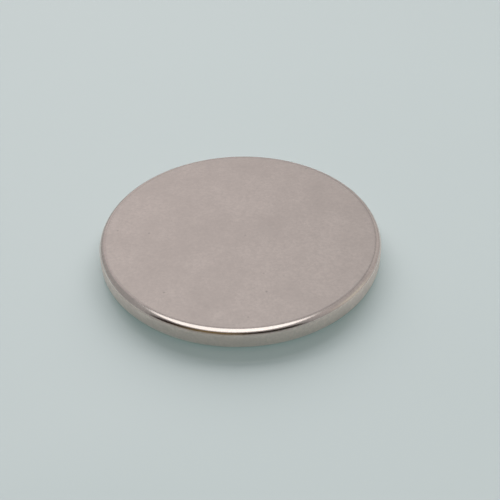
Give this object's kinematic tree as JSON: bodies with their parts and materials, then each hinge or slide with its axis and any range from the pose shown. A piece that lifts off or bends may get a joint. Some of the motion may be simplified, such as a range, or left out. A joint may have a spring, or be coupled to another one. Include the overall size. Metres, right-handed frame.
{
  "type": "disc magnet",
  "caption": "Thin round magnet with flat faces and a rounded, polished rim, for holding against steel or sinking into a shallow pocket.",
  "frame": {"origin": "centre of the flat face that it lies on", "axes": "+Z through the thickness, from the face it lies on to the face opposite; X and Y lie in the face and are alike"},
  "size_m": [0.02, 0.02, 0.0015],
  "materials": {
    "nickel_plate": "satin nickel plate, faintly grained on the faces and worn bright on the rounded edges"
  },
  "bodies": {
    "root": {"magnet": "nickel_plate"}
  },
  "joints": []
}
